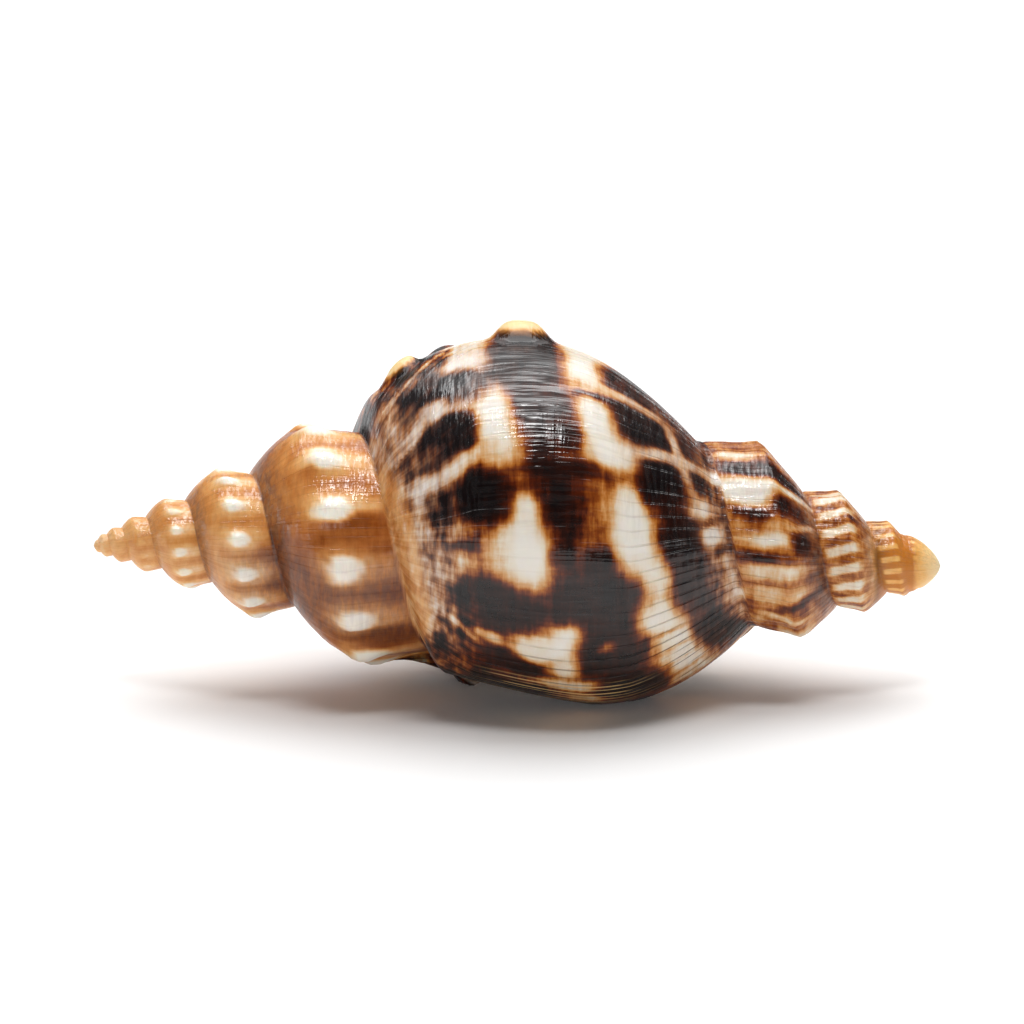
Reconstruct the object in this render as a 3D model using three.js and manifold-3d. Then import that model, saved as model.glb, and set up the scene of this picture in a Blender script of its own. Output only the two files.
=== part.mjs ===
import * as THREE from 'three';
import { mergeVertices } from 'three/addons/utils/BufferGeometryUtils.js';
import Module from 'manifold-3d';

// A spindle-shaped sea snail shell with two pointed ends, lying on its opening, in millimetres.
// Along = distance from the pale tip. Angle = degrees from the top, growing by the near side (-Y).
// Every place on the outside is a radius from a bent spine, as a function of along and angle.

// Overall sizes
const LENGTH = 60;
const SPINE_HEIGHT = 11.85;
const SPINE_BEND_AT = 34.1;
// The spine sags towards the pale tip by a power, and slopes down past a rounded bend to the brown tip
const PALE_SAG = 1.4;
const PALE_SAG_POWER = 2.7;
const BROWN_SLOPE = 0.19;
const BROWN_BEND_ROUND = 3;
const BROWN_CURL = 0.00215;

// The two spires. Each step between two grooves grows by the same factor a turn.
// edge = groove beside the body whorl, at turn angle 0; shoulder = its share of a whorl's growth;
// fall = share of the radius lost from the shoulder to the next groove; ridge = rise on the shoulder
const PALE_SPIRE = {
  tip: -0.7, edge: 19.3, growth: 1.64, slope: 0.458, core: 0.15,
  shoulder: 0.53, rampPower: 1.75, ridge: 0.005, fall: 0.045,
};
const BROWN_SPIRE = {
  tip: 62.1, edge: 19.1, growth: 1.6, slope: 0.482, core: 0,
  shoulder: 0.49, rampPower: 1.3, ridge: 0.035, fall: 0.03,
};
// The brown spire ends in one smooth, blunt cone, which hides the whorls before this one
const BLUNT_TIP = { start: 57, radius: 2.12, power: 0.7, firstWhorl: -3 };
const SHOULDER_RIDGE_WIDTH = 0.12;
// Nearer to a spire's tip than this, the whorls are counted as at this distance
const NEAREST_TIP = 0.02;
// Turn angle 0 is this far behind the top
const TURN_START = 17;

// The body whorl: values on top, and their change on the near side and round the back
const BODY_TOP = { top: 13.35, near: -0.75, back: -0.3 };
const BODY_SHOULDER = { top: 9.5, near: 0.9, back: -0.2 };
const BODY_SHOULDER_AT = { top: 0.05, near: 0, back: 0.14 };
const BODY_PEAK_AT = { top: 0.46, near: 0.03, back: 0.14 };
const BODY_FULLNESS = { top: 2.4, near: -1.1, back: 0.6 };
const BODY_HOLD = 0.23;
const BODY_RISE_POWER = 1.5;
const BODY_FALL_POWER = 1.9;
const BODY_FALL_END = 0.985;

// The outer lip, where the last turn ends and the turn before it shows
const LIP_ANGLE = 172;
const LIP_BLEND = 14;

// Beads on the pale spire's shoulders, each going on as a low fold to the next groove
const BEADS_PER_TURN = 12.5;
const BEAD_START = 80;
const BEAD_HEIGHT = 0.075;
const BEAD_WIDTH = 0.13;
const BEAD_PAST_SHOULDER = 0.07;
const BEAD_LAST_TURN = 345;
const FOLD_HEIGHT = 0.014;
// Beads grow out of the smooth first whorls over this stretch from the pale tip
const BEADS_GROWN = [2, 8];

// Low folds along the brown spire, which grow out over this stretch from the brown tip
const BROWN_FOLDS = 15;
const BROWN_FOLD_HEIGHT = 0.014;
const FOLDS_GROWN = [3, 8];
// Shares of a whorl where the folds start, and from where they fade out to the next groove
const FOLD_START = 0.3;
const BROWN_FOLD_START = 0.1;
const FOLD_FADE = 0.8;

// Knobs on top of the body whorl
const KNOBS = [
  { along: 30.3, turn: 4, height: 1.48, halfWidth: 1.9, power: 4 },
  { along: 21.7, turn: 4, height: 0.95, halfWidth: 1.15, power: 3.5 },
];
const KNOB_RADIUS = 12.5;

// The thick inner lip on the far side of the opening, which the shell rests on
const INNER_LIP = { along: 32.2, angle: 205, height: 1.3, halfLength: 8.6, halfTurn: 17, power: 4 };

// The pale tip is rounded off over this length
const PALE_TIP_ROUND = 0.7;

// The opening and the hollow behind it, which curls up inside the near side
const HOLLOW_END = 38;
const OPENING_END = 203;
const HOLLOW_MIDDLE = 35.2;
const HOLLOW_SHIFT = 5.5;
const HOLLOW_HALF_LENGTH = 11.8;
const COLUMELLA = 3.4;
const WALL = 1.15;
const OPENING_NEAR_EDGE = 164;
const OPENING_BLEND = 6;
const OPENING_PAST = 2.2;
const HOLLOW_SQUARENESS = 2.4;

// How finely the surfaces are divided
const RINGS_PALE = 35;
const RINGS_BESIDE_PALE = 19;
const RINGS_BODY = 16;
const RINGS_BROWN = 29;
const FIRST_RING = 0.12;
const BESIDE_PALE = 16.5;
const BODY_START = 26.5;
const BROWN_START = 40.9;
// One line of vertices runs over the knobs
const KNOB_ANGLE = -13;
// Spans of angle, each divided evenly; the lip has the finest
const SPANS = [
  { from: KNOB_ANGLE, to: 155, steps: 20 },
  { from: 155, to: 187, steps: 8 },
  { from: 187, to: KNOB_ANGLE + 360, steps: 16 },
];
const HOLLOW_SEGMENTS = 26;

const SHELL_COLOUR = 0x7a5434;
const SHELL_ROUGHNESS = 0.32;

const TURN = 360;
const radians = THREE.MathUtils.degToRad;
const clamp = THREE.MathUtils.clamp;

function ease(low, high, value) {
  return THREE.MathUtils.smoothstep(value, low, high);
}

function bump(distance, halfWidth, power) {
  return Math.exp(-Math.pow(Math.abs(distance) / halfWidth, power));
}

function spineHeight(along) {
  const past = along - SPINE_BEND_AT;
  if (past < 0) {
    return SPINE_HEIGHT - PALE_SAG * (-past / SPINE_BEND_AT) ** PALE_SAG_POWER;
  }
  const bend = Math.hypot(past, BROWN_BEND_ROUND) - BROWN_BEND_ROUND;
  return SPINE_HEIGHT - BROWN_SLOPE * bend + BROWN_CURL * past ** 2;
}

// Growth of a spire at a distance from its tip: whorl number, share of the whorl and radius
function whorlAt(spire, distance, turns) {
  const grown = Math.log(Math.max(distance, NEAREST_TIP) / spire.edge) / Math.log(spire.growth) - turns;
  const whorl = Math.floor(grown);
  const share = grown - whorl;
  const groove = spire.edge * spire.growth ** (whorl + turns);
  const shoulder = groove * spire.growth ** spire.shoulder;
  const outer = spire.core + spire.slope * shoulder;
  const inner = (spire.core + spire.slope * shoulder / spire.growth) * (1 - spire.fall);
  const climb = clamp((distance - groove) / (shoulder - groove), 0, 1);
  const ramp = inner + (outer - inner) * (1 - (1 - climb) ** spire.rampPower);
  const past = Math.max((share - spire.shoulder) / (1 - spire.shoulder), 0);
  const ridge = spire.ridge * bump(share - spire.shoulder, SHOULDER_RIDGE_WIDTH, 2);
  return { whorl, share, radius: ramp * (1 + ridge) * (1 - spire.fall * past ** 2) };
}

// Radius of a spire where it meets the body whorl
function edgeRadius(spire, turns) {
  const shoulder = spire.edge * spire.growth ** (spire.shoulder - 1 + turns);
  return (spire.core + spire.slope * shoulder) * (1 - spire.fall);
}

function aroundBody(values, near, back) {
  return values.top + values.near * near + values.back * back;
}

function bodyRadius(along, turnAngle) {
  const turns = turnAngle / TURN;
  const left = PALE_SPIRE.tip + PALE_SPIRE.edge * PALE_SPIRE.growth ** turns;
  const right = BROWN_SPIRE.tip - BROWN_SPIRE.edge * BROWN_SPIRE.growth ** -turns;
  const share = (along - left) / (right - left);
  const near = ease(0, 180, turnAngle);
  const back = ease(0, 180, -turnAngle);
  const leftEnd = edgeRadius(PALE_SPIRE, turns);
  const rightEnd = edgeRadius(BROWN_SPIRE, -turns);
  const top = aroundBody(BODY_TOP, near, back);
  const shoulder = aroundBody(BODY_SHOULDER, near, back);
  const shoulderAt = aroundBody(BODY_SHOULDER_AT, near, back);
  const peakAt = aroundBody(BODY_PEAK_AT, near, back);
  if (share < shoulderAt) {
    const climb = clamp(share / shoulderAt, 0, 1);
    return leftEnd + (shoulder - leftEnd) * (1 - (1 - climb) ** BODY_RISE_POWER);
  }
  if (share < peakAt) {
    const start = shoulderAt + BODY_HOLD * back;
    const climb = clamp((share - start) / (peakAt - start), 0, 1);
    return shoulder + (top - shoulder) * (1 - (1 - climb) ** aroundBody(BODY_FULLNESS, near, back));
  }
  const fall = clamp((share - peakAt) / (BODY_FALL_END - peakAt), 0, 1);
  return rightEnd + (top - rightEnd) * (1 - fall ** BODY_FALL_POWER);
}

// Beads and folds are counted on from whorl to whorl, so that they step round as the shell grows
function beadRelief(share, turnAngle) {
  const count = (turnAngle - BEAD_START) * BEADS_PER_TURN / TURN;
  const wave = 0.5 + 0.5 * Math.cos(2 * Math.PI * count);
  const past = share - PALE_SPIRE.shoulder - BEAD_PAST_SHOULDER;
  const bead = BEAD_HEIGHT * wave ** 2 * bump(past, BEAD_WIDTH, 2);
  const fold = FOLD_HEIGHT * (wave - 0.5) * ease(FOLD_START, PALE_SPIRE.shoulder, share);
  return bead + fold * (1 - ease(FOLD_FADE, 1, share));
}

function paleRadius(pale, along, turnAngle) {
  const grown = ease(...BEADS_GROWN, along);
  return pale.radius * (1 + grown * beadRelief(pale.share, turnAngle + TURN * (pale.whorl + 1)));
}

function brownRadius(brown, along, turnAngle) {
  const wave = Math.cos(radians(BROWN_FOLDS * turnAngle)) * ease(...FOLDS_GROWN, LENGTH - along);
  const rise = ease(BROWN_FOLD_START, BROWN_SPIRE.shoulder, brown.share);
  const across = rise * (1 - ease(FOLD_FADE, 1, brown.share));
  const whorlRadius = brown.radius * (1 + BROWN_FOLD_HEIGHT * wave * across);
  return Math.max(brown.whorl < BLUNT_TIP.firstWhorl ? 0 : whorlRadius, bluntTipRadius(along));
}

function bluntTipRadius(along) {
  const share = (along - BLUNT_TIP.start) / (LENGTH - BLUNT_TIP.start);
  return share < 0 ? 0 : BLUNT_TIP.radius * (1 - Math.min(share, 1) ** 2) ** BLUNT_TIP.power;
}

function oneTurnRadius(along, turnAngle) {
  const turns = turnAngle / TURN;
  const pale = whorlAt(PALE_SPIRE, along - PALE_SPIRE.tip, turns);
  if (pale.whorl < 0) {
    return paleRadius(pale, along, turnAngle);
  }
  const brown = whorlAt(BROWN_SPIRE, BROWN_SPIRE.tip - along, -turns);
  if (brown.whorl < 0) {
    return brownRadius(brown, along, turnAngle);
  }
  const radius = bodyRadius(along, turnAngle);
  const isBack = turnAngle < 0;
  const beadTurn = turnAngle + TURN;
  return isBack && beadTurn < BEAD_LAST_TURN
    ? radius * (1 + beadRelief(pale.share, beadTurn))
    : radius;
}

function knobRelief(along, turnAngle) {
  let relief = 0;
  for (const knob of KNOBS) {
    const around = THREE.MathUtils.euclideanModulo(turnAngle - knob.turn + TURN / 2, TURN) - TURN / 2;
    const away = Math.hypot(along - knob.along, radians(around) * KNOB_RADIUS);
    relief += knob.height * bump(away, knob.halfWidth, knob.power);
  }
  return relief;
}

function innerLipRelief(along, angle) {
  const lip = INNER_LIP;
  const lengthwise = bump(along - lip.along, lip.halfLength, lip.power);
  return lip.height * lengthwise * bump(angle - lip.angle, lip.halfTurn, lip.power);
}

function tipRounding(along) {
  const away = 1 - clamp(along / PALE_TIP_ROUND, 0, 1);
  return Math.sqrt(1 - away ** 2);
}

// The last turn runs up to the lip; past the lip the surface is that of the turn before
function shellRadius(along, angle) {
  const turnAngle = angle + TURN_START;
  const earlier = oneTurnRadius(along, turnAngle - TURN);
  const past = ease(LIP_ANGLE, LIP_ANGLE + LIP_BLEND, angle);
  const later = past < 1 ? oneTurnRadius(along, turnAngle) : earlier;
  const radius = THREE.MathUtils.lerp(later, earlier, past);
  const relief = knobRelief(along, turnAngle) + innerLipRelief(along, angle);
  return (radius + relief) * tipRounding(along);
}

function placeOnShell(along, angle, radius) {
  const side = -radius * Math.sin(radians(angle));
  const up = spineHeight(along) + radius * Math.cos(radians(angle));
  return new THREE.Vector3(along, side, up);
}

// Rings stand closer together towards the tips, where the whorls are smaller
function ringPlaces() {
  const places = [];
  const firstFromTip = FIRST_RING - PALE_SPIRE.tip;
  const paleGrowth = (BESIDE_PALE - PALE_SPIRE.tip) / firstFromTip;
  for (let ring = 0; ring < RINGS_PALE; ring += 1) {
    places.push(PALE_SPIRE.tip + firstFromTip * paleGrowth ** (ring / RINGS_PALE));
  }
  for (let ring = 0; ring < RINGS_BESIDE_PALE; ring += 1) {
    places.push(THREE.MathUtils.lerp(BESIDE_PALE, BODY_START, ring / RINGS_BESIDE_PALE));
  }
  for (let ring = 0; ring < RINGS_BODY; ring += 1) {
    places.push(THREE.MathUtils.lerp(BODY_START, BROWN_START, ring / RINGS_BODY));
  }
  const lastFromTip = BROWN_SPIRE.tip - LENGTH + FIRST_RING;
  const brownGrowth = (BROWN_SPIRE.tip - BROWN_START) / lastFromTip;
  for (let ring = RINGS_BROWN; ring >= 0; ring -= 1) {
    places.push(BROWN_SPIRE.tip - lastFromTip * brownGrowth ** (ring / RINGS_BROWN));
  }
  return places;
}

// Moves every vertex of a lathe made of rings: place(row, segment) gives its new place
function warpLathe(profile, segments, place) {
  const lathe = new THREE.LatheGeometry(profile, segments);
  const vertices = lathe.attributes.position;
  for (let index = 0; index < vertices.count; index += 1) {
    const row = index % profile.length;
    const segment = Math.floor(index / profile.length) % segments;
    const at = place(row, segment);
    vertices.setXYZ(index, at.x, at.y, at.z);
  }
  lathe.deleteAttribute('normal');
  lathe.deleteAttribute('uv');
  return mergeVertices(lathe);
}

function anglesAround() {
  const angles = [];
  for (const span of SPANS) {
    for (let step = 0; step < span.steps; step += 1) {
      const angle = THREE.MathUtils.lerp(span.from, span.to, step / span.steps);
      angles.push(THREE.MathUtils.euclideanModulo(angle, TURN));
    }
  }
  return angles;
}

function outerSurface() {
  const places = [0, ...ringPlaces(), LENGTH];
  const angles = anglesAround();
  const last = places.length - 1;
  const isTip = (row) => row === 0 || row === last;
  const profile = places.map((along, row) => new THREE.Vector2(isTip(row) ? 0 : 1, along));
  return warpLathe(profile, angles.length, (row, segment) => {
    const along = places[row];
    const angle = angles[segment];
    const at = placeOnShell(along, angle, isTip(row) ? 0 : shellRadius(along, angle));
    at.z = Math.max(at.z, 0);
    return at;
  });
}

// Rows of the hollow: share of its full section, and the angle the row stands at
const HOLLOW_ROWS = [
  [0, HOLLOW_END], [0.3, 46], [0.52, 60], [0.68, 78], [0.79, 96], [0.87, 114], [0.92, 130], [0.95, 144],
  [0.97, 156], [0.98, 163], [1, 168], [1, 173], [0.98, 179], [0.94, 185], [0.87, 191], [0.75, 196],
  [0.56, 200], [0.3, 202.4], [0, OPENING_END],
];

function hollowPlace(share, angle, around) {
  const squareness = 2 / HOLLOW_SQUARENESS;
  const lengthwise = Math.sign(Math.cos(around)) * Math.abs(Math.cos(around)) ** squareness;
  const outward = Math.sign(Math.sin(around)) * Math.abs(Math.sin(around)) ** squareness;
  const middle = HOLLOW_MIDDLE - HOLLOW_SHIFT * (180 - angle) / 180;
  const along = middle + HOLLOW_HALF_LENGTH * share * lengthwise;
  const outside = shellRadius(along, Math.min(angle, LIP_ANGLE));
  const reach = THREE.MathUtils.lerp(outside - WALL, outside + OPENING_PAST,
    ease(OPENING_NEAR_EDGE, OPENING_NEAR_EDGE + OPENING_BLEND, angle));
  const centre = (reach + COLUMELLA) / 2;
  const half = (reach - COLUMELLA) / 2;
  return placeOnShell(along, angle, centre + half * share * outward);
}

function hollow() {
  const profile = HOLLOW_ROWS.map(([share], row) => new THREE.Vector2(share, row));
  return warpLathe(profile, HOLLOW_SEGMENTS, (row, segment) => {
    const [share, angle] = HOLLOW_ROWS[row];
    return hollowPlace(share, angle, 2 * Math.PI * segment / HOLLOW_SEGMENTS);
  });
}

const wasm = await Module();
wasm.setup();

function toSolid(geometry) {
  return new wasm.Manifold(new wasm.Mesh({
    numProp: 3,
    vertProperties: Float32Array.from(geometry.attributes.position.array),
    triVerts: Uint32Array.from(geometry.index.array),
  }));
}

function toGeometry(solid) {
  const mesh = solid.getMesh();
  const geometry = new THREE.BufferGeometry();
  geometry.setAttribute('position', new THREE.BufferAttribute(mesh.vertProperties, 3));
  geometry.setIndex(new THREE.BufferAttribute(mesh.triVerts, 1));
  geometry.computeVertexNormals();
  return geometry;
}

function makeShell() {
  const solid = toSolid(outerSurface()).subtract(toSolid(hollow()));
  const geometry = toGeometry(solid);
  geometry.computeBoundingBox();
  const middle = geometry.boundingBox.getCenter(new THREE.Vector3());
  geometry.translate(-middle.x, -middle.y, 0);
  const material = new THREE.MeshStandardMaterial({
    color: SHELL_COLOUR,
    roughness: SHELL_ROUGHNESS,
    metalness: 0,
  });
  const shell = new THREE.Mesh(geometry, material);
  shell.name = 'shell';
  return shell;
}

const root = new THREE.Group();
root.add(makeShell());

export default root;
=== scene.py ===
"""A whelk-like sea snail shell: its fine surface, its markings and the light it lies in."""
import math
from types import SimpleNamespace as Values

import bpy
import numpy as np
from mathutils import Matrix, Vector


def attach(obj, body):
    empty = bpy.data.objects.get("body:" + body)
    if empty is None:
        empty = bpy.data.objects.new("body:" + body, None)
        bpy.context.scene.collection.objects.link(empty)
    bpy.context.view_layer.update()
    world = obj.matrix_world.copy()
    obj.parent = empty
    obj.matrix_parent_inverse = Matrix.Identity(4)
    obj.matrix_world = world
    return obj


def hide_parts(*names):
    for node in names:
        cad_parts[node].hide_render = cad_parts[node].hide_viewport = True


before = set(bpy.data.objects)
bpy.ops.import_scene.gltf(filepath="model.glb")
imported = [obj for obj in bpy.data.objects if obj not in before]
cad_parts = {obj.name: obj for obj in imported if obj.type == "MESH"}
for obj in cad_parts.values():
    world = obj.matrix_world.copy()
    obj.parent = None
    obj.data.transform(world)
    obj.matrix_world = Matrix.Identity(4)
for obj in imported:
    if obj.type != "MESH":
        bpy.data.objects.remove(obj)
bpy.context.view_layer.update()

# Form sizes are in millimetres and degrees, and become metres where a mesh is made.
# along = distance from the pale tip. angle = degrees from the top, growing by the near side (-Y).
# turn = angle + TURN_START, counted on from whorl to whorl as the shell grows.
MM = 0.001
LENGTH = 60
SPINE_HEIGHT = 11.85
SPINE_BEND_AT = 34.1
PALE_SAG = 1.4
PALE_SAG_POWER = 2.7
BROWN_SLOPE = 0.19
BROWN_BEND_ROUND = 3
BROWN_CURL = 0.00215
TURN_START = 17

# The two spires: each step between two grooves grows by the same factor a turn
PALE = Values(
    tip=-0.7, edge=19.3, growth=1.64, slope=0.458, core=0.15,
    shoulder=0.53, ramp_power=1.75, ridge=0.005, fall=0.045,
)
BROWN = Values(
    tip=62.1, edge=19.1, growth=1.6, slope=0.482, core=0,
    shoulder=0.49, ramp_power=1.3, ridge=0.035, fall=0.03,
)
BLUNT_TIP = Values(start=57, radius=2.12, power=0.7, first_whorl=-3)
SHOULDER_RIDGE_WIDTH = 0.12
# Nearer to a spire's tip than this, the whorls are counted as at this distance
NEAREST_TIP = 0.02

# The body whorl: a value on top, and its change on the near side and round the back
BODY_TOP = (13.35, -0.75, -0.3)
BODY_SHOULDER = (9.5, 0.9, -0.2)
BODY_SHOULDER_AT = (0.05, 0, 0.14)
BODY_PEAK_AT = (0.46, 0.03, 0.14)
BODY_FULLNESS = (2.4, -1.1, 0.6)
BODY_HOLD = 0.23
BODY_RISE_POWER = 1.5
BODY_FALL_POWER = 1.9
BODY_FALL_END = 0.985
BODY_RADIUS = 13

# The outer lip, where the last turn ends and the turn before it shows
LIP_ANGLE = 172
LIP_BLEND = 14

# Beads on the pale spire's shoulders, and low folds along both spires
BEADS_PER_TURN = 12.5
BEAD_START = 80
BEAD_HEIGHT = 0.075
BEAD_WIDTH = 0.13
BEAD_PAST_SHOULDER = 0.07
BEAD_LAST_TURN = 345
FOLD_HEIGHT = 0.014
BROWN_FOLDS = 15
BROWN_FOLD_HEIGHT = 0.014
# Beads and folds grow out of the smooth tips over these stretches from them
BEADS_GROWN = (2, 8)
FOLDS_GROWN = (3, 8)
# Shares of a whorl where the folds start, and from where they fade out to the next groove
FOLD_START = 0.3
BROWN_FOLD_START = 0.1
FOLD_FADE = 0.8

# Knobs on top of the body whorl
KNOBS = (
    Values(along=30.3, turn=4, height=1.3, half_width=1.9, power=4),
    Values(along=21.7, turn=4, height=0.95, half_width=1.15, power=3.5),
)
KNOB_RADIUS = 12.5
INNER_LIP = Values(along=32.2, angle=205, height=1.3, half_length=8.6, half_turn=17, power=4)
PALE_TIP_ROUND = 0.7

# The opening and the hollow behind it
HOLLOW_MIDDLE = 35.2
HOLLOW_SHIFT = 5.5
HOLLOW_HALF_LENGTH = 11.8
HOLLOW_SQUARENESS = 2.4
COLUMELLA = 3.4
WALL = 1.15
OPENING_NEAR_EDGE = 164
OPENING_BLEND = 6
OPENING_PAST = 2.2
# Rows of the hollow: the angle each stands at, and its share of the full section
HOLLOW_ANGLES = (
    38, 46, 60, 78, 96, 114, 130, 144, 156, 163, 168, 173, 179, 185, 191, 196, 200, 202.4, 203,
)
HOLLOW_SHARES = (
    0, 0.3, 0.52, 0.68, 0.79, 0.87, 0.92, 0.95, 0.97, 0.98, 1, 1, 0.98, 0.94, 0.87, 0.75, 0.56, 0.3, 0,
)

# How finely the surfaces are divided. Rows wind round with the grooves, so that each groove is
# a row, and the seam, where the rows of one turn meet those of the next, is at the lip.
WHORL_ROWS = 22
ROW_CROWDING = 0.45
BODY_ROWS = 84
PALE_WHORLS = 8
BROWN_WHORLS = 6
COLUMNS = 285
SEAM_TURN = 196
TIP_START = 0.1
HOLLOW_ROWS = 56
HOLLOW_COLUMNS = 72
# This share of a whorl before a groove, a point counts as past it
ON_GROOVE = 0.001

# Growth lines fan out on the shoulder beside the pale spire and lean on the side of the brown one
FAN_RATE = 0.1
FAN_START = 27
FAN_TURN = 95
LINE_LEAN = 1.2
LINE_LEAN_START = 38

# Growth ridges along the shell, this many to a turn, as fine relief in millimetres
GROWTH_RIDGES = 55
GROWTH_RIDGE_HEIGHT = 0.045
# Their drift: the degrees of each wave, its count to a turn, its degrees a millimetre and its start
RIDGE_DRIFT = 9
RIDGE_DRIFT_WAVES = ((5, 3, 0, 40), (3, 7, 4, 0))
# Their strength everywhere, and what is added towards the brown spire and under the near side
RIDGES_PLAIN = 0.35
RIDGES_BESIDE_BROWN = 0.65
BESIDE_BROWN = (33, 40)
RIDGES_BELOW = 0.5
BELOW = (120, 165)
# They grow out of the pale tip and of the brown one over these lengths
RIDGES_GROWN = (1, 22)
BROWN_RIDGES_GROWN = (0.5, 14)
# The fine surface lies this far under the plain form
FINE_INSET = 0.012
GROOVE_DEPTH = 0.1
GROOVE_WIDTH = 0.035
GROOVE_POWER = 1.5
# Where the whorls have a smaller radius than this, their groove lines are shallower
FULL_GROOVE_RADIUS = 5
# The whorls on the blunt tip are parted by shallow lines, which fade out near its point
TIP_GROOVE_DEPTH = 0.07
TIP_GROOVE_WIDTH = 0.12
TIP_GROOVES_FADE = (0.4, 1.4)
# Thin layers, this many degrees wide, that step down to the edge of the outer lip
LIP_LAYER_HEIGHT = 0.07
LIP_LAYER_TURN = 2.6
LIP_LAYERS = Values(reach=5, half_turn=9, turn_power=4, along=33, half_length=12, power=6)


def ease(low, high, value):
    share = np.clip((value - low) / (high - low), 0, 1)
    return share * share * (3 - 2 * share)


def fade(low, high, value):
    return 1 - ease(low, high, value)


def bump(distance, half_width, power):
    return np.exp(-((np.abs(distance) / half_width) ** power))


def wrap(turn):
    """The same turn angle between -180 and 180."""
    return np.mod(turn + 180, 360) - 180


def spine_height(along):
    past = along - SPINE_BEND_AT
    pale = SPINE_HEIGHT - PALE_SAG * np.maximum(-past / SPINE_BEND_AT, 0) ** PALE_SAG_POWER
    bend = np.hypot(past, BROWN_BEND_ROUND) - BROWN_BEND_ROUND
    brown = SPINE_HEIGHT - BROWN_SLOPE * bend + BROWN_CURL * past**2
    return np.where(past < 0, pale, brown)


def whorl_at(spire, distance, turns):
    """Whorl number, share of the whorl and radius, at a distance from a spire's tip."""
    grown = np.log(np.maximum(distance, NEAREST_TIP) / spire.edge) / math.log(spire.growth) - turns
    whorl = np.floor(grown + ON_GROOVE)
    share = np.maximum(grown - whorl, 0)
    groove = spire.edge * spire.growth ** (whorl + turns)
    shoulder = groove * spire.growth**spire.shoulder
    outer = spire.core + spire.slope * shoulder
    inner = (spire.core + spire.slope * shoulder / spire.growth) * (1 - spire.fall)
    climb = np.clip((distance - groove) / (shoulder - groove), 0, 1)
    ramp = inner + (outer - inner) * (1 - (1 - climb) ** spire.ramp_power)
    ridge = spire.ridge * bump(share - spire.shoulder, SHOULDER_RIDGE_WIDTH, 2)
    past = np.maximum((share - spire.shoulder) / (1 - spire.shoulder), 0)
    return whorl, share, ramp * (1 + ridge) * (1 - spire.fall * past**2)


def edge_radius(spire, turns):
    shoulder = spire.edge * spire.growth ** (spire.shoulder - 1 + turns)
    return (spire.core + spire.slope * shoulder) * (1 - spire.fall)


def blunt_tip_radius(along):
    """The smooth cone that the brown spire ends in."""
    share = (along - BLUNT_TIP.start) / (LENGTH - BLUNT_TIP.start)
    return np.where(share < 0, 0, BLUNT_TIP.radius * (1 - np.clip(share, 0, 1) ** 2) ** BLUNT_TIP.power)


def body_ends(turns):
    """Places of the grooves on both sides of the body whorl."""
    left = PALE.tip + PALE.edge * PALE.growth**turns
    right = BROWN.tip - BROWN.edge * BROWN.growth**-turns
    return left, right


def body_radius(along, turn):
    turns = turn / 360
    left, right = body_ends(turns)
    share = (along - left) / (right - left)
    near = ease(0, 180, turn)
    back = ease(0, 180, -turn)

    def around(values):
        return values[0] + values[1] * near + values[2] * back

    left_end = edge_radius(PALE, turns)
    right_end = edge_radius(BROWN, -turns)
    top = around(BODY_TOP)
    shoulder = around(BODY_SHOULDER)
    shoulder_at = around(BODY_SHOULDER_AT)
    peak_at = around(BODY_PEAK_AT)
    first_climb = np.clip(share / shoulder_at, 0, 1)
    first = left_end + (shoulder - left_end) * (1 - (1 - first_climb) ** BODY_RISE_POWER)
    start = shoulder_at + BODY_HOLD * back
    second_climb = np.clip((share - start) / (peak_at - start), 0, 1)
    second = shoulder + (top - shoulder) * (1 - (1 - second_climb) ** around(BODY_FULLNESS))
    fall = np.clip((share - peak_at) / (BODY_FALL_END - peak_at), 0, 1)
    third = right_end + (top - right_end) * (1 - fall**BODY_FALL_POWER)
    return np.where(share < shoulder_at, first, np.where(share < peak_at, second, third))


def bead_wave(turn):
    count = (turn - BEAD_START) * BEADS_PER_TURN / 360
    return 0.5 + 0.5 * np.cos(2 * np.pi * count)


def bead_relief(share, turn):
    wave = bead_wave(turn)
    bead = BEAD_HEIGHT * wave**2 * bump(share - PALE.shoulder - BEAD_PAST_SHOULDER, BEAD_WIDTH, 2)
    fold = FOLD_HEIGHT * (wave - 0.5) * ease(FOLD_START, PALE.shoulder, share)
    return bead + fold * fade(FOLD_FADE, 1, share)


def groove_line(share, radius):
    """A fine cut line in the groove between two whorls, in millimetres."""
    away = np.minimum(share, 1 - share)
    depth = GROOVE_DEPTH * np.minimum(radius / FULL_GROOVE_RADIUS, 1)
    return -depth * bump(away, GROOVE_WIDTH, GROOVE_POWER)


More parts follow.
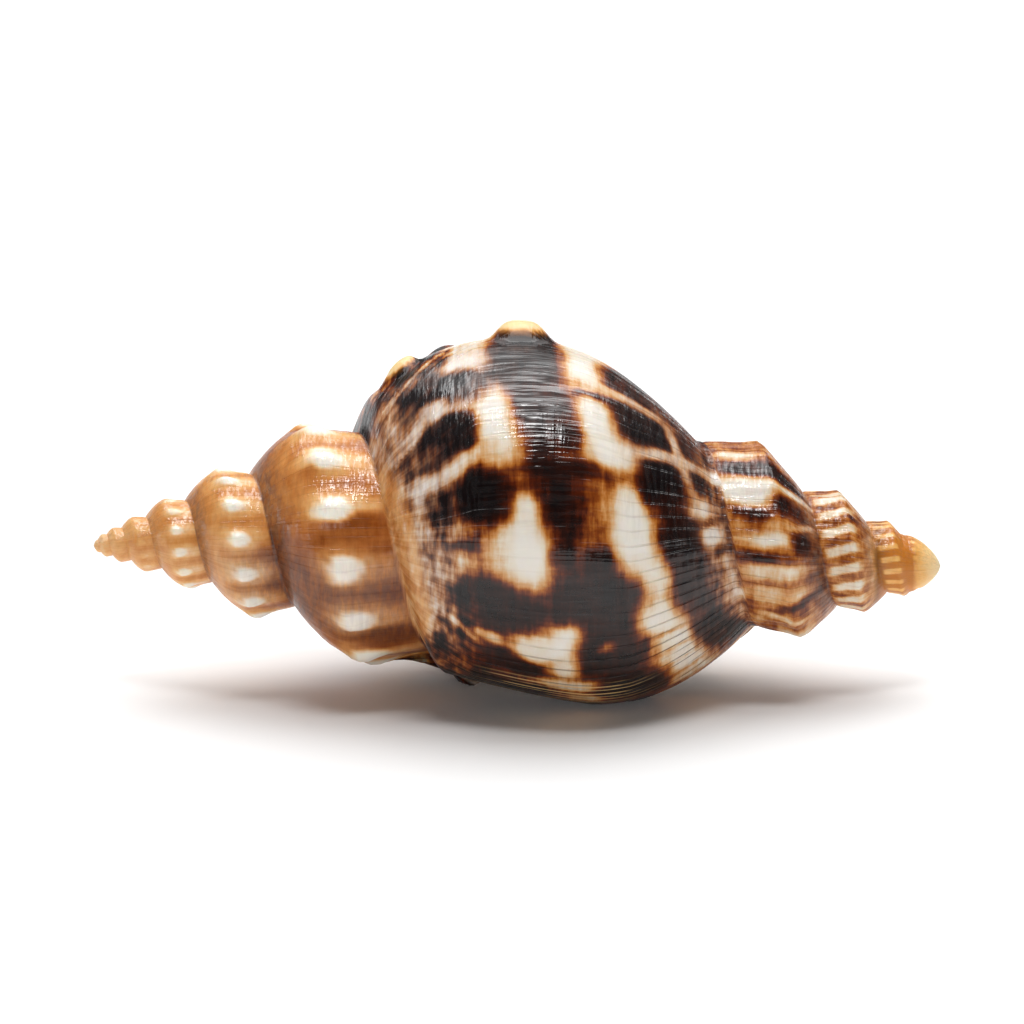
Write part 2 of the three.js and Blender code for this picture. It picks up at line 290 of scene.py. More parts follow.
def one_turn_radius(along, turn):
    turns = turn / 360
    pale_whorl, pale_share, pale_radius = whorl_at(PALE, along - PALE.tip, turns)
    brown_whorl, brown_share, brown_radius = whorl_at(BROWN, BROWN.tip - along, -turns)
    grown = ease(*BEADS_GROWN, along)
    pale = pale_radius * (1 + grown * bead_relief(pale_share, turn + 360 * (pale_whorl + 1)))
    fold = np.cos(np.radians(BROWN_FOLDS * turn)) * ease(BROWN_FOLD_START, BROWN.shoulder, brown_share)
    fold = fold * fade(FOLD_FADE, 1, brown_share) * ease(*FOLDS_GROWN, LENGTH - along)
    brown = brown_radius * (1 + BROWN_FOLD_HEIGHT * fold)
    brown = brown + groove_line(brown_share, brown)
    brown = np.where(brown_whorl < BLUNT_TIP.first_whorl, 0, brown)
    tip_line = TIP_GROOVE_DEPTH * bump(np.minimum(brown_share, 1 - brown_share), TIP_GROOVE_WIDTH, 2)
    tip_line = tip_line * ease(*TIP_GROOVES_FADE, LENGTH - along)
    brown = np.maximum(brown, blunt_tip_radius(along) - tip_line)
    body = body_radius(along, turn)
    beaded = (turn < 0) & (turn + 360 < BEAD_LAST_TURN)
    body = body * (1 + np.where(beaded, bead_relief(pale_share, turn + 360), 0))
    pale = pale + groove_line(pale_share, pale)
    return np.where(pale_whorl < 0, pale, np.where(brown_whorl < 0, brown, body))


def knob_distance(along, turn, knob):
    return np.hypot(along - knob.along, np.radians(wrap(turn - knob.turn)) * KNOB_RADIUS)


def knob_relief(along, turn):
    relief = 0
    for knob in KNOBS:
        away = knob_distance(along, turn, knob)
        relief = relief + knob.height * bump(away, knob.half_width, knob.power)
    return relief


def inner_lip_relief(along, angle):
    lip = INNER_LIP
    lengthwise = bump(along - lip.along, lip.half_length, lip.power)
    return lip.height * lengthwise * bump(angle - lip.angle, lip.half_turn, lip.power)


def growth_turn(along, turn):
    """The turn at which a growth line through this place crosses the middle of the body whorl."""
    fan = np.exp(FAN_RATE * np.maximum(FAN_START - along, 0)) - 1
    lean = LINE_LEAN * np.maximum(along - LINE_LEAN_START, 0)
    away = np.radians(turn - FAN_TURN)
    near = 0.5 + 0.5 * np.cos(away)
    return turn + np.degrees(np.sin(away)) * near * fan + lean


def growth_relief(along, turn):
    """Irregular fine ridges along the shell."""
    drift = 0
    for height, count, lengthwise, start in RIDGE_DRIFT_WAVES:
        drift = drift + height * np.sin(np.radians(count * turn + lengthwise * along + start))
    phase = GROWTH_RIDGES * growth_turn(along, turn) + RIDGE_DRIFT * drift
    wave = 0.5 + 0.5 * np.cos(np.radians(phase))
    strength = RIDGES_PLAIN + RIDGES_BESIDE_BROWN * ease(*BESIDE_BROWN, along)
    strength = strength + RIDGES_BELOW * ease(*BELOW, wrap(turn))
    strength = strength * ease(*RIDGES_GROWN, along) * ease(*BROWN_RIDGES_GROWN, LENGTH - along)
    return -GROWTH_RIDGE_HEIGHT * strength * wave**3


def lip_relief(along, angle):
    layers = LIP_LAYERS
    reach = LIP_ANGLE - angle
    layer = np.mod(reach / LIP_LAYER_TURN, 1)
    share = bump(reach - layers.reach, layers.half_turn, layers.turn_power)
    share = share * bump(along - layers.along, layers.half_length, layers.power)
    return LIP_LAYER_HEIGHT * share * (layer - 1)


def tip_rounding(along):
    away = 1 - np.clip(along / PALE_TIP_ROUND, 0, 1)
    return np.sqrt(1 - away**2)


def shell_radius(along, angle):
    turn = angle + TURN_START
    earlier = one_turn_radius(along, turn - 360)
    later = one_turn_radius(along, np.minimum(turn, LIP_ANGLE + LIP_BLEND + TURN_START))
    past = ease(LIP_ANGLE, LIP_ANGLE + LIP_BLEND, angle)
    radius = later + (earlier - later) * past
    relief = knob_relief(along, turn) + inner_lip_relief(along, angle)
    return (radius + relief) * tip_rounding(along)


def surface_radius(along, angle):
    """The shell's radius with its fine relief."""
    fine = growth_relief(along, angle + TURN_START) + lip_relief(along, angle)
    return shell_radius(along, angle) + (fine - FINE_INSET) * tip_rounding(along)


def place(along, angle, radius, lowest):
    """Points in millimetres with the spine over y = 0, and none below the height lowest."""
    side = -radius * np.sin(np.radians(angle))
    up = spine_height(along) + radius * np.cos(np.radians(angle))
    return np.stack([along, side, np.maximum(up, lowest)], axis=-1)


def spiral_rows():
    """Place along of every row and column, and the columns' turns. Rows crowd beside the grooves."""
    turn = SEAM_TURN - 360 + 360 * np.arange(COLUMNS) / COLUMNS
    turns = turn / 360
    steps = np.arange(WHORL_ROWS) / WHORL_ROWS
    shares = steps - ROW_CROWDING * np.sin(2 * np.pi * steps) / (2 * np.pi)
    pale_grown = (np.arange(-PALE_WHORLS, 0)[:, None] + shares).reshape(-1, 1)
    brown_grown = (np.arange(BROWN_WHORLS)[:, None] + shares).reshape(-1, 1)
    pale = PALE.tip + PALE.edge * PALE.growth ** (turns + pale_grown)
    brown = BROWN.tip - BROWN.edge * BROWN.growth ** (-turns - brown_grown)
    left, right = body_ends(turns)
    body = left + (right - left) * (np.arange(BODY_ROWS) / BODY_ROWS)[:, None]
    return np.concatenate([pale, body, brown]), turn


def grid_faces(index):
    """Faces between rows of numbered points. Corners that are the same point count once."""
    quads = np.stack([index[:-1, :-1], index[1:, :-1], index[1:, 1:], index[:-1, 1:]], axis=-1)
    faces = [list(dict.fromkeys(quad)) for quad in quads.reshape(-1, 4).tolist()]
    return [face for face in faces if len(face) > 2]


def spiral_faces(along):
    """Faces of the outside. The rows past a tip all come together in that tip's point."""
    rows, columns = along.shape
    pale_tip = rows * columns
    brown_tip = pale_tip + 1
    index = np.arange(rows * columns).reshape(rows, columns)
    index = np.where(along < TIP_START, pale_tip, index)
    index = np.where(along > LENGTH - TIP_START, brown_tip, index)
    after_seam = np.concatenate([index[WHORL_ROWS:, 0], np.full(WHORL_ROWS, brown_tip)])
    return grid_faces(np.concatenate([index, after_seam[:, None]], axis=1))


def tube_faces(rows, columns):
    """Faces of a tube of rings, closed at its ends by the two points that follow the rings."""
    first = rows * columns
    index = np.arange(first).reshape(rows, columns)
    index = np.concatenate([np.full((1, columns), first), index, np.full((1, columns), first + 1)])
    return grid_faces(np.concatenate([index, index[:, :1]], axis=1))


def add(name, data):
    """A new object of the scene that holds these data."""
    thing = bpy.data.objects.new(name, data)
    bpy.context.scene.collection.objects.link(thing)
    return thing


def new_mesh(name, vertices, faces):
    """A piece made of these points in millimetres, without the points that no face uses."""
    used = np.unique(np.fromiter((corner for face in faces for corner in face), dtype=int))
    renumbered = np.zeros(len(vertices), dtype=int)
    renumbered[used] = np.arange(len(used))
    mesh = bpy.data.meshes.new(name)
    mesh.from_pydata((vertices[used] * MM).tolist(), [], [renumbered[face].tolist() for face in faces])
    return add(name, mesh)


def outside_piece():
    along, turn = spiral_rows()
    angle = np.broadcast_to(np.mod(turn - TURN_START, 360), along.shape)
    inside_ends = np.clip(along, TIP_START, LENGTH - TIP_START)
    radius = surface_radius(inside_ends, angle)
    points = place(inside_ends, angle, radius, lowest=0).reshape(-1, 3)
    tips = [(at, 0, spine_height(at)) for at in (0, LENGTH)]
    return new_mesh("shell_surface", np.concatenate([points, tips]), spiral_faces(along))


def hollow_piece():
    rows = np.linspace(0, len(HOLLOW_ANGLES) - 1, HOLLOW_ROWS)
    known = np.arange(len(HOLLOW_ANGLES))
    angle = np.interp(rows, known, HOLLOW_ANGLES)
    share = np.interp(rows, known, HOLLOW_SHARES)[1:-1, None]
    around = 2 * np.pi * np.arange(HOLLOW_COLUMNS) / HOLLOW_COLUMNS
    past_middle = HOLLOW_HALF_LENGTH * share * squarer(np.cos(around))
    outward = share * squarer(np.sin(around))
    rings = hollow_points(past_middle, angle[1:-1, None], outward)[:, ::-1]
    ends = hollow_points(0, angle[[0, -1]], 0)
    vertices = np.concatenate([rings.reshape(-1, 3), ends])
    return new_mesh("hollow", vertices, tube_faces(*rings.shape[:2]))


def squarer(wave):
    return np.sign(wave) * np.abs(wave) ** (2 / HOLLOW_SQUARENESS)


def hollow_points(past_middle, angle, outward):
    """Points of the hollow. outward is 1 beside the wall and -1 beside the core."""
    along = HOLLOW_MIDDLE - HOLLOW_SHIFT * (180 - angle) / 180 + past_middle
    outside = shell_radius(along, np.minimum(angle, LIP_ANGLE))
    past = ease(OPENING_NEAR_EDGE, OPENING_NEAR_EDGE + OPENING_BLEND, angle)
    reach = outside - WALL + (WALL + OPENING_PAST) * past
    radius = (reach + COLUMELLA) / 2 + (reach - COLUMELLA) / 2 * outward
    return place(along, angle, radius, lowest=-LENGTH)


def cut(piece, tool):
    """Takes the tool's space out of the piece, and deletes the tool."""
    modifier = piece.modifiers.new("cut", "BOOLEAN")
    modifier.operation = "DIFFERENCE"
    modifier.solver = "EXACT"
    modifier.object = tool
    graph = bpy.context.evaluated_depsgraph_get()
    mesh = bpy.data.meshes.new_from_object(piece.evaluated_get(graph))
    piece.modifiers.clear()
    piece.data = mesh
    mesh.name = piece.name
    bpy.data.objects.remove(tool)


def shell_coordinates(points):
    """along, angle and radius of points in millimetres with the spine over y = 0."""
    along = np.clip(points[:, 0], 0, LENGTH)
    up = points[:, 2] - spine_height(along)
    angle = np.mod(np.degrees(np.arctan2(-points[:, 1], up)), 360)
    return along, angle, np.hypot(points[:, 1], up)


# Markings of the last turn, and patches of painted shade on its underside, painted in this order. Each
# is
# a rounded patch: along and turn of its middle, half its length along, half its turn in degrees and its
# tone. Where it leans, there follow its change of turn along the shell, in degrees a millimetre, and
# its shift along the shell, in millimetres a degree. Tone 0 is cream, 0.5 amber and 1 nearly black.
BODY_MARKS_AND_SHADE = (
    # wide washes: both shoulders and the middle
    (22.3, 100, 3.7, 46, 0.6), (21.2, 36, 2, 26, 0.6), (34.6, 86, 2.4, 17, 0.66),
    (44.4, 105, 1.5, 72, 0.56, 0, 0.02),
    # streaks of the shoulder
    (22.5, 54, 1.7, 4.2, 0.24, -5), (24.6, 71.8, 3, 3.4, 0.27, -2.3),
    (23.8, 73.8, 1.2, 3.4, 0.18, -2), (22.3, 88, 1.6, 2.4, 0.62, -2),
    (26.2, 90.5, 1.3, 2.6, 0.3, -1), (24.5, 94.5, 1.4, 2.6, 0.4, -2),
    (24.5, 99.6, 0.9, 2.2, 0.74, -2), (26.5, 103, 1.1, 3.4, 0.48), (23.2, 104, 1.5, 3.8, 0.48),
    (25.3, 106, 1, 2.4, 0.42), (24.2, 110.6, 1.3, 2.4, 0.4), (25.6, 113.5, 1.2, 2.8, 0.8, 3),
    (22.8, 117.5, 1.6, 3, 0.64, 1), (23.9, 124, 1.1, 4, 0.34), (25.8, 127.5, 1.7, 1.7, 0.3, 4.5),
    (26, 133.5, 1.7, 1.7, 0.82, 5), (28.1, 131, 1.2, 2.4, 0.26, 1.5), (22, 134, 1.5, 4, 0.3),
    # cream patches on top
    (26.4, 10, 1.5, 13, 0.12), (26, 23.5, 1.75, 6, 0.04, 1.5), (34.8, 6, 2, 12, 0.12),
    (34.4, 26, 1.5, 14, 0.02, 0, 0.01),
    # cream patches facing forward
    (24, 45, 0.95, 4, 0.1), (25.9, 47.3, 1.5, 2.2, 0.2), (28.6, 56, 1.6, 15, 0, 0, 0.045),
    (27, 66, 1.6, 3, 0.3, -2), (35.7, 53, 1.35, 10.5, 0, 0, 0.045), (36.7, 63.5, 1.75, 6.6, 0),
    (29, 99, 1.5, 9.5, 0.3), (31.05, 97.5, 1.75, 14.5, 0, 0, 0.03), (30.4, 86, 1, 5, 0.06),
    (37.8, 79, 0.9, 6, 0.2), (38.2, 92, 1.75, 13, 0, 0, 0.03),
    (39.8, 108, 1.35, 8, 0.02, 0, 0.03), (40.2, 123, 1.75, 9, 0.04, 0, 0.03),
    (41.3, 137, 1.8, 7, 0.08, 0, 0.03), (42, 150, 1.9, 9, 0.1, 0, 0.03),
    (42.8, 166, 1.8, 10, 0.24, 0, 0.03), (40.3, 130.8, 1.9, 0.5, 0.6, -0.6),
    (41.3, 140, 2.1, 0.4, 0.55, -1.1), (41.9, 148.2, 2, 0.3, 0.5, -1.1),
    (42.4, 158.6, 2, 0.5, 0.6, -1), (32.5, 131.5, 2.1, 9, 0), (31, 135, 1.1, 5.6, 0.1),
    (33.4, 143.5, 1.2, 4.4, 0.14), (33.7, 153.6, 2.8, 3.8, 0.18), (33.6, 163, 2.8, 4, 0.28, 0.6),
    # pale bands and patches beside the brown spire
    (41.8, 53, 2.6, 3, 0.26, -2.4), (44, 47, 0.9, 4.6, 0.12, -4),
    (42.7, 73.5, 0.8, 6.4, 0.08, -2), (43.6, 87, 0.7, 6.4, 0.08, -4), (44.4, 102, 0.6, 6.5, 0.22),
    (44.9, 113, 0.5, 5.5, 0.32), (45.5, 124, 0.65, 5.8, 0.22), (46.4, 148, 0.6, 11, 0.3),
    # dark blotches on top
    (21.6, 15, 3.2, 12, 0.86), (23.6, 36.5, 3.3, 7.6, 0.96, 1), (21.8, 42, 1.2, 6.6, 0.86),
    (30.5, 22, 2.4, 21, 0.95), (31.4, 52, 1.7, 17.5, 0.9, 0, 0.03), (35.1, 42, 2.1, 1.3, 0.82),
    (37.8, 20, 1.7, 13, 0.88, -1), (39.9, 22, 1.6, 7, 0.86, -1), (38.9, 46, 1.95, 11.5, 0.97),
    (41.6, 38, 0.8, 8, 0.9),
    # dark blotches facing forward
    (25.3, 57, 1.85, 7, 0.98), (23.6, 64.6, 1.5, 4.4, 0.8), (40.2, 68.5, 1.8, 11, 0.98),
    (42.7, 58, 0.7, 7.2, 0.9), (27.5, 80, 2.05, 9, 1), (24.7, 84, 1.5, 5, 0.8),
    (24.5, 99, 1.2, 8, 0.66), (33, 71.5, 3, 2.6, 0.96), (33.1, 83, 1.5, 9, 0.94),
    (33.2, 98, 0.8, 9, 0.88), (35.5, 102, 1.3, 4.6, 0.94), (41.4, 88, 1.4, 9, 0.96),
    (42.2, 109, 1.45, 15, 0.95, 0, 0.015), (43.5, 79.6, 0.6, 2.6, 0.78, -5),
    (44.3, 94.6, 0.5, 2.6, 0.74, -5), (43.9, 140, 1.2, 16, 0.95, 0, 0.045),
    (45.3, 160, 1.2, 12, 0.92, 0, 0.04),
    # pale arcs over both shoulders
    (22, 24, 2.2, 2.2, 0.24, -5), (20.6, 44, 1.1, 14, 0.45), (24, 45.5, 0.85, 4.2, 0.1),
    (22.6, 55.5, 1.3, 2.6, 0.26, -6.5), (37.2, 35.5, 3.2, 2.8, 0.3, -0.9),
    (41.4, 51, 0.45, 17, 0.32, 0, 0.053), (40.6, 54.5, 2.6, 3, 0.28, -2.4),
    # painted shade: the underside low by the outer lip, and under the body beside the tan whorls,
    # darkened where it lies in shadow
    (27.5, 166, 4.5, 8, 0.98), (26, 205, 4, 17, 0.92),
    # the dark band below the middle, and painted shade on the underside below it
    (29.2, 118, 2.9, 8.4, 0.95, 1.3), (35.5, 114.5, 3.5, 8, 0.95), (36.4, 135, 2.2, 14, 0.94),
    (36.2, 132, 0.6, 2.2, 0.58), (38.2, 157, 2.4, 9, 0.98), (29.3, 142.5, 2, 4.8, 0.94, 2),
    # painted shade: this patch darkens the underside, where it lies in shadow
    (28.5, 163, 4, 6.6, 0.98),
)
# Between its patches the body has this tone
BODY_TONE = 0.8

# Markings of the brown spire's first whorl, in the same order of values
BROWN_MARKS = (
    (51, 100, 0.9, 50, 0.7, 0, 0.018), (45.2, 12, 2.2, 8, 0.5), (45.6, 25, 1.6, 3.6, 0.16),
    (45.4, 37.5, 1.3, 6, 0.94), (48.3, 36, 2, 7.8, 0.9), (46.3, 54, 2.3, 8.6, 0),
    (49.5, 46, 1.2, 3.2, 0.14, -4), (49, 60, 1.2, 7.5, 0.88), (46.6, 69, 1.4, 3.8, 0.84),
    (47.8, 84, 1.6, 4.2, 0.06, -1), (50.1, 71, 0.8, 2.6, 0.3, -5), (50, 84, 0.7, 6.5, 0.88),
    (47.6, 96.5, 2.1, 4.2, 0.72), (47.3, 96.5, 0.7, 1.6, 0.94), (48.2, 105, 2.1, 5.4, 0.2, -1),
    (48.4, 121, 2.1, 6.2, 0.26, -1), (48.3, 113.4, 2, 0.7, 0.55, -1),
    (49.6, 130.5, 1.9, 4, 0.84, -3.5), (49, 142.5, 1.6, 2.6, 0.26, 2), (48.3, 153, 1.6, 6, 0.5),
    (49.8, 167, 1.2, 6, 0.2),
)
# Between its patches the first whorl has this tone
BROWN_TONE = 0.55
# The outer whorls' whitish bars, which lean and fade towards the tip
BAR_TONE = 0.58
BAR_CONTRAST = 0.42
BAR_SPACING = 20.5
BAR_LEAN = 5
BAR_START = Values(along=53, turn=41)
BAR_FADE = (53.8, 56.8)
BAR_TIP_LIGHTER = 0.16
# Where a bar is: how near to its middle line, and over which shares of a whorl it starts and ends
BAR_WAVE = (0.3, 0.75)
BAR_STARTS = (0.26, 0.46)
BAR_ENDS = (0.86, 1)
# The patches' outlines: half the width of their soft edges and its change, squareness, and
# how far they wander along the shell in millimetres and round it in degrees
MARK_EDGE = 1.05
EDGE_CHANGE = 0.4
# Patches smaller than this, in millimetres, have narrower edges, down to this share
FULL_EDGE_SIZE = 1.6
THINNEST_EDGE = 0.3
EDGE_SEED = 5
MARK_POWER = 2.6
OUTLINE_WANDER = 0.16
OUTLINE_TURN_WANDER = 0.9
OUTLINE_SEED = 21
WANDER_WAVES = 6
WANDER_COUNTS = (3, 8)
WANDER_RATES = (0.5, 1.1)
# Shares of a knob's half width between which its golden cap ends
KNOB_CAP = (0.7, 1.05)
# Shares of gold between which the markings give way to the gold's own tone
GOLD_OVER = (0.2, 0.8)
# The brown spire turns golden over this stretch
GOLD_TIP = (54.4, 56.6)
PALE_GOLD_TIP = (57.2, 59.8)
# Its bars go on there, fainter, up to the last whorl
TIP_BAR_LIGHT = 1.1
TIP_BARS_END = (57.4, 58.4)
# The tan colour runs on over the start of the body, this wide, growing and fading over these turns
TAN_OVER = Values(width=1.8, edge=0.6, grows=(45, 92), fades=(125, 160))
# The thin golden lines at the outer lip
LIP_LINES_AT = Values(along=33, half_length=5.5, power=4, start=(148, 156), end=(164, 177))
# From these depths under the outside, in millimetres, the surface is the hollow's
INSIDE_DEPTH = (0.12, 0.7)

# Mauve places: shares of a whorl, stretches along from a tip, turns, and how mauve each place is
MAUVE_PALE = Values(groove=(0.03, 0.3), tip=(2, 8), share=0.8)
MAUVE_BROWN = Values(groove=(0.12, 0.36), tip=(0.5, 6), share=0.75)
MAUVE_LOW = Values(start=(92, 116), end=(145, 165), tip=(6, 13), share=0.65)
# The left shoulder, which is wider by some millimetres on top
MAUVE_SHOULDER = Values(
    end=(24, 27.5), turn=76, half_turn=80, wider=4.5, wider_to=(38, 52), less_on_tan=0.75,
)
# The right shoulder, which starts earlier on top
MAUVE_SIDE = Values(start=(40.5, 43.5), turn=85, half_turn=80, share=0.75)
MAUVE_UPPER_SIDE = Values(start=(36, 38.5), end=(58, 70))
MAUVE_POWER = 6

# Streaky places: both shoulders, less on top and where the tan colour runs on
STREAKY = Values(
    pale=(24.5, 28.5), brown=(42, 44.5), brown_share=0.5, top=0.55, turn=(70, 95), less_on_tan=0.6,
)

# How clearly the growth lines show: everywhere, on the right, below, then less from some turns on
LINES_PLAIN = 0.07
LINES_RIGHT = Values(more=0.4, start=(36, 41))
LINES_BELOW = Values(more=0.7, start=(122, 150))
LINES_FAR = Values(less=0.5, start=(175, 200))
LINES_PALE = 0.1
LINES_BROWN = 0.15
# They end on a knob's cap
LINES_CAP = (0, 0.3)

# The gloss: how far it is broken up at least, on top and above the middle, and the turns between
BROKEN = Values(least=0.05, top=0.4, turns=(36, 46), end=(75, 100))
# The shoulders, where scratches break it
SCRATCHED_LEFT = (26, 28.5)
SCRATCHED_RIGHT = (35.5, 38)

# The far side has bands of patches round the shell, dark and cream by turns, up to the brown spire
FAR_SEED = 11
FAR_BANDS = (22, 25.6, 29.4, 33.4, 37.4, 41.2, 44.4, 46.9, 49.7, 52)
FAR_TURNS = (176, 352)
FAR_FIRST = (0, 12)
FAR_DARK = Values(half_turn=(6, 14), tone=(0.84, 0.98))
FAR_CREAM = Values(half_turn=(5, 17), tone=(0, 0.2))
FAR = Values(gap=(0, 7), width=(0.42, 0.62), shift=(0, 0.05), slope=(-0.8, 0.8), off_band=(-0.5, 0.5))

# Tan whorls: their tone, lighter at the tip and darker on the largest whorls
PALE_TONE = 0.5
PALE_TIP_LIGHT = 0.12
PALE_TIP_END = (0, 4)
PALE_LARGE_SHADE = 0.08
PALE_LARGE = (9, 14)
# How much darker they are from each groove up to the next shoulder, over this share of a whorl
PALE_RAMP_SHADE = 0.1
PALE_RAMP = (0.1, 0.36)
# and, as painted shade, low on the large whorls, where they lie in shadow, over these turns and places
# along
PALE_LOW_PAINTED_SHADE = Values(shade=0.16, turns=(76, 98), along=(10.5, 13))
# How much lighter they are on their folds, and the height of a fold that isn't lighter
PALE_FOLD_LIGHT = 0.2
PALE_FOLD_LEVEL = 0.45
# A bead's white spot ends between these shares of the whorl's radius from its middle
BEAD_SPOT = (0.08, 0.135)
# Round it is a paler glow, which trails on to the next groove
BEAD_GLOW = (0.13, 0.3)
BEAD_GLOW_SHARE = 0.22
BEAD_TRAIL = 0.6
# Patches on the tan whorls
PALE_MARKS = (
    (18.8, 86, 2.8, 5, 0.82), (14.6, 59, 1.5, 4.5, 0.68), (21, 98, 1.8, 4.5, 0.74),
    (17.4, 76.8, 0.62, 4, 0), (16.1, 81, 0.55, 3.6, 0.03), (17.9, 111.5, 0.85, 6, 0),
    (16.3, 45, 0.9, 6, 0.1), (21, 154, 2.1, 9, 0.9),
)


def wavering(along, turn, seed):
    """A smooth, seamless wander between about -1 and 1."""
    draws = np.random.default_rng(seed)
    total = 0
    for step in range(WANDER_WAVES):
        around = draws.integers(*WANDER_COUNTS) * (step + 1)
        lengthwise = draws.choice((-1, 1)) * draws.uniform(*WANDER_RATES) * (step + 1)
        phase = draws.uniform(0, 2 * np.pi)
        total = total + np.sin(np.radians(around * turn) + lengthwise * along + phase) / (1 + step)
    return total / math.sqrt(WANDER_WAVES)


def paint(tone, along, turn, marks):
    """Lays each patch over the tones before it, with an irregular outline and a soft edge."""
    edge = MARK_EDGE * (1 + EDGE_CHANGE * wavering(along, turn, EDGE_SEED))
    along = along + OUTLINE_WANDER * wavering(along, turn, OUTLINE_SEED)
    turn = turn + OUTLINE_TURN_WANDER * wavering(along, turn, OUTLINE_SEED + 1)
    for mark in marks:
        at, mark_turn, half, half_turn, value, slope, shift = (*mark, 0, 0)[:7]
        away_turn = wrap(turn - mark_turn)
        away_along = along - at - shift * away_turn
        away_turn = away_turn - slope * (along - at)
        half_side = math.radians(half_turn) * BODY_RADIUS
        reach = (np.abs(away_along / half) ** MARK_POWER
                 + np.abs(away_turn / half_turn) ** MARK_POWER) ** (1 / MARK_POWER)
        smaller = min(half, half_side)
        soft = edge * np.clip(smaller / FULL_EDGE_SIZE, THINNEST_EDGE, 1)
        cover = fade(-soft, soft, (reach - 1) * smaller)
        tone = tone + (value - tone) * cover
    return tone


def far_marks():
    """Patches of the far side, band by band."""
    draws = np.random.default_rng(FAR_SEED)
    marks = []
    for band, (at, following) in enumerate(zip(FAR_BANDS, FAR_BANDS[1:])):
        turn = FAR_TURNS[0] + draws.uniform(*FAR_FIRST)
        dark = band % 2 == 0
        while turn < FAR_TURNS[1]:
            kind = FAR_DARK if dark else FAR_CREAM
            half_turn = draws.uniform(*kind.half_turn)
            value = draws.uniform(*kind.tone)
            half = (following - at) * draws.uniform(*FAR.width)
            shift = draws.uniform(*FAR.shift)
            slope = draws.uniform(*FAR.slope)
            middle = at + draws.uniform(*FAR.off_band)
            marks.append((middle, turn + half_turn, half, half_turn, value, slope, shift))
            turn = turn + 2 * half_turn + draws.uniform(*FAR.gap)
            dark = not dark
    return marks


def whorl_places(points):
    """Everything the markings need to know about each point of the finished surface."""
    where = Values()
    where.along, angle, radius = shell_coordinates(points)
    where.depth = surface_radius(where.along, angle) - radius
    where.turn = angle + TURN_START
    earlier = ease(LIP_ANGLE, LIP_ANGLE + LIP_BLEND, angle) > 0.5
    where.counted = np.where(earlier, where.turn - 360, where.turn)
    turns = where.counted / 360
    where.pale_whorl, where.pale_share, _ = whorl_at(PALE, where.along - PALE.tip, turns)
    where.brown_whorl, where.brown_share, _ = whorl_at(BROWN, BROWN.tip - where.along, -turns)
    where.is_pale = where.pale_whorl < 0
    where.is_brown = (where.brown_whorl < 0) & ~where.is_pale
    where.is_body = ~where.is_pale & ~where.is_brown
    return where


def pale_tone(where):
    """Tan whorls: cream beads that fade lengthwise into light folds, with amber between them."""
    bead_turn = where.counted + 360 * (where.pale_whorl + 1)
    fold = bead_wave(bead_turn) - PALE_FOLD_LEVEL
    fold = fold * ease(FOLD_START, PALE.shoulder, where.pale_share)
    grown = ease(*BEADS_GROWN, where.along)
    away = bead_distance(where, bead_turn)
    large = PALE_LARGE_SHADE * ease(*PALE_LARGE, where.along)
    tone = PALE_TONE + grown * (large - PALE_FOLD_LIGHT * fold)
    tone = tone + PALE_RAMP_SHADE * grown * fade(*PALE_RAMP, where.pale_share)
    # painted shade: darker on the lower side of the large tan whorls, where they lie in shadow
    low = ease(*PALE_LOW_PAINTED_SHADE.turns, where.turn) * ease(*PALE_LOW_PAINTED_SHADE.along, where.along)
    tone = tone + PALE_LOW_PAINTED_SHADE.shade * low
    tone = tone - PALE_TIP_LIGHT * fade(*PALE_TIP_END, where.along)
    tone = tone * (1 - grown * BEAD_GLOW_SHARE * fade(*BEAD_GLOW, away))
    tone = paint(tone, where.along, where.turn, PALE_MARKS)
    return tone * (1 - grown * fade(*BEAD_SPOT, away))


def bead_distance(where, bead_turn):
    """How far each point is from the nearest bead's middle, as a share of the whorl's radius."""
    past = (where.pale_share - PALE.shoulder - BEAD_PAST_SHOULDER) * math.log(PALE.growth) / PALE.slope
    count = (bead_turn - BEAD_START) * BEADS_PER_TURN / 360
    beside = (np.mod(count + 0.5, 1) - 0.5) * 2 * np.pi / BEADS_PER_TURN
    return np.hypot(past * np.where(past > 0, BEAD_TRAIL, 1), beside)


def bar_wave(where):
    """How far each place of the brown spire is in a whitish bar, from 0 to 1."""
    lean = BAR_LEAN * (where.along - BAR_START.along)
    count = (where.turn - BAR_START.turn + lean) / BAR_SPACING
    wave = ease(*BAR_WAVE, 0.5 + 0.5 * np.cos(2 * np.pi * count))
    return wave * ease(*BAR_STARTS, where.brown_share) * fade(*BAR_ENDS, where.brown_share)


def bar_tone(where):
    """Whitish bars along the outer whorls of the brown spire, fading out towards its tip."""
    past = ease(*BAR_FADE, where.along)
    return BAR_TONE - BAR_TIP_LIGHTER * past - BAR_CONTRAST * (1 - past) * bar_wave(where)


def knob_caps(along, turn):
    caps = [fade(*KNOB_CAP, knob_distance(along, turn, knob) / knob.half_width) for knob in KNOBS]
    return np.maximum.reduce(caps)


